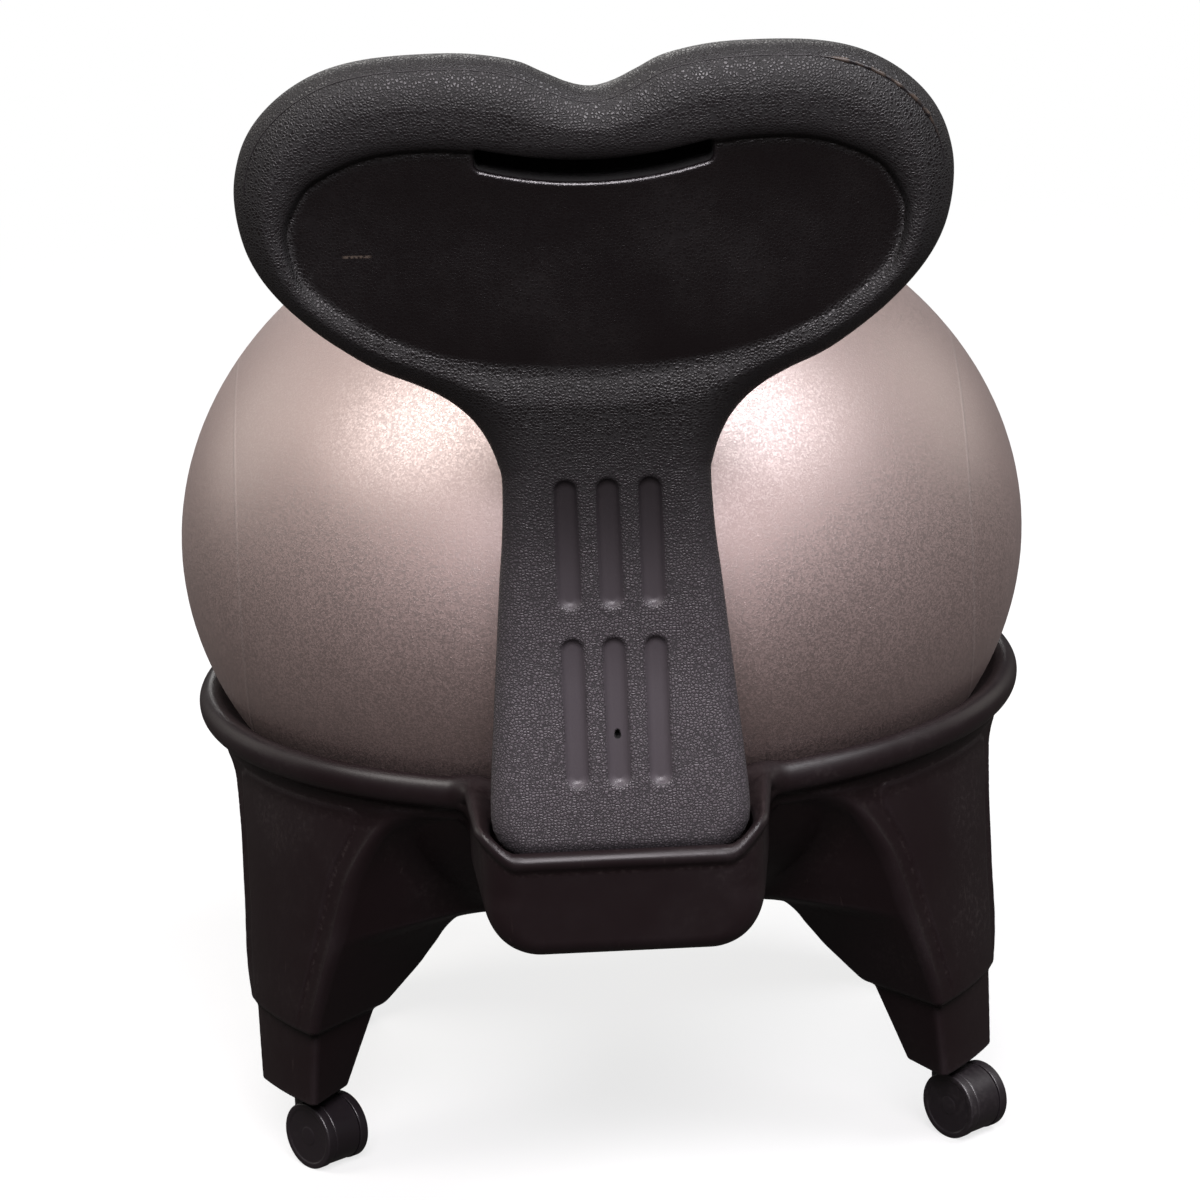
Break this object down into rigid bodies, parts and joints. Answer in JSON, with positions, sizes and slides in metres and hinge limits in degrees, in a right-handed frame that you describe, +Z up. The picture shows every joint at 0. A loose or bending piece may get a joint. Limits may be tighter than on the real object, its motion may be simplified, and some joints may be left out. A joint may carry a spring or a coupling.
{
  "type": "balance ball chair",
  "caption": "Rolling office chair with an inflated ball as its seat, a moulded ring base on legs with swivel casters and a low rounded backrest.",
  "frame": {"origin": "on the floor under the middle of the whole chair", "axes": "+Z up, the sitter faces -Y with the backrest on +Y, +X to the sitter's left"},
  "size_m": [0.552, 0.6546, 0.755],
  "materials": {
    "frame_plastic": "black moulded plastic with a fine satin surface",
    "back_plastic": "black blow-moulded plastic with a pebbled leather grain",
    "ball_vinyl": "silver-grey soft vinyl with a fine satin sheen",
    "caster_plastic": "smooth black plastic, half gloss",
    "steel": "plain zinc-coated steel",
    "plug_plastic": "pale soft plastic"
  },
  "bodies": {
    "frame": {"base": "frame_plastic", "backrest": "back_plastic", "back_bolt_left": "steel", "back_bolt_right": "steel", "back_washer_left": "steel", "back_washer_right": "steel", "sleeve_rear_left": "caster_plastic", "sleeve_rear_right": "caster_plastic", "sleeve_front_left": "caster_plastic", "sleeve_front_right": "caster_plastic"},
    "ball": {"ball": "ball_vinyl"},
    "plug": {"ball_plug": "plug_plastic"},
    "caster_rear_left": {"stem_rear_left": "steel", "hood_rear_left": "caster_plastic", "axle_rear_left": "steel"},
    "wheel_rear_left_a": {"wheel_rear_left_a": "caster_plastic"},
    "wheel_rear_left_b": {"wheel_rear_left_b": "caster_plastic"},
    "caster_rear_right": {"stem_rear_right": "steel", "hood_rear_right": "caster_plastic", "axle_rear_right": "steel"},
    "wheel_rear_right_a": {"wheel_rear_right_a": "caster_plastic"},
    "wheel_rear_right_b": {"wheel_rear_right_b": "caster_plastic"},
    "caster_front_left": {"stem_front_left": "steel", "hood_front_left": "caster_plastic", "axle_front_left": "steel"},
    "wheel_front_left_a": {"wheel_front_left_a": "caster_plastic"},
    "wheel_front_left_b": {"wheel_front_left_b": "caster_plastic"},
    "caster_front_right": {"stem_front_right": "steel", "hood_front_right": "caster_plastic", "axle_front_right": "steel"},
    "wheel_front_right_a": {"wheel_front_right_a": "caster_plastic"},
    "wheel_front_right_b": {"wheel_front_right_b": "caster_plastic"}
  },
  "joints": [
    {"name": "ball_lift", "type": "slide", "parent": "frame", "child": "ball", "axis": [0, 0, 1], "range_m": [0, 0.3]},
    {"name": "plug_pull", "type": "slide", "parent": "ball", "child": "plug", "axis": [0, 0, -1], "range_m": [0, 0.03]},
    {"name": "swivel_rear_left", "type": "hinge", "parent": "frame", "child": "caster_rear_left", "pos_m": [0.20726, 0.0885, 0.045], "axis": [0, 0, 1], "continuous": true},
    {"name": "roll_rear_left_a", "type": "hinge", "parent": "caster_rear_left", "child": "wheel_rear_left_a", "pos_m": [0.20662, 0.10946, 0.022], "axis": [0.7431, 0.6691, 0], "continuous": true},
    {"name": "roll_rear_left_b", "type": "hinge", "parent": "caster_rear_left", "child": "wheel_rear_left_b", "pos_m": [0.18648, 0.09132, 0.022], "axis": [0.7431, 0.6691, 0], "continuous": true},
    {"name": "swivel_rear_right", "type": "hinge", "parent": "frame", "child": "caster_rear_right", "pos_m": [-0.20726, 0.0885, 0.045], "axis": [0, 0, 1], "continuous": true},
    {"name": "roll_rear_right_a", "type": "hinge", "parent": "caster_rear_right", "child": "wheel_rear_right_a", "pos_m": [-0.2079, 0.10946, 0.022], "axis": [0.7431, 0.6691, 0], "continuous": true},
    {"name": "roll_rear_right_b", "type": "hinge", "parent": "caster_rear_right", "child": "wheel_rear_right_b", "pos_m": [-0.22803, 0.09132, 0.022], "axis": [0.7431, 0.6691, 0], "continuous": true},
    {"name": "swivel_front_left", "type": "hinge", "parent": "frame", "child": "caster_front_left", "pos_m": [0.20726, -0.1911, 0.045], "axis": [0, 0, 1], "continuous": true},
    {"name": "roll_front_left_a", "type": "hinge", "parent": "caster_front_left", "child": "wheel_front_left_a", "pos_m": [0.20662, -0.17014, 0.022], "axis": [0.7431, 0.6691, 0], "continuous": true},
    {"name": "roll_front_left_b", "type": "hinge", "parent": "caster_front_left", "child": "wheel_front_left_b", "pos_m": [0.18648, -0.18827, 0.022], "axis": [0.7431, 0.6691, 0], "continuous": true},
    {"name": "swivel_front_right", "type": "hinge", "parent": "frame", "child": "caster_front_right", "pos_m": [-0.20726, -0.1911, 0.045], "axis": [0, 0, 1], "continuous": true},
    {"name": "roll_front_right_a", "type": "hinge", "parent": "caster_front_right", "child": "wheel_front_right_a", "pos_m": [-0.2079, -0.17014, 0.022], "axis": [0.7431, 0.6691, 0], "continuous": true},
    {"name": "roll_front_right_b", "type": "hinge", "parent": "caster_front_right", "child": "wheel_front_right_b", "pos_m": [-0.22803, -0.18827, 0.022], "axis": [0.7431, 0.6691, 0], "continuous": true}
  ]
}
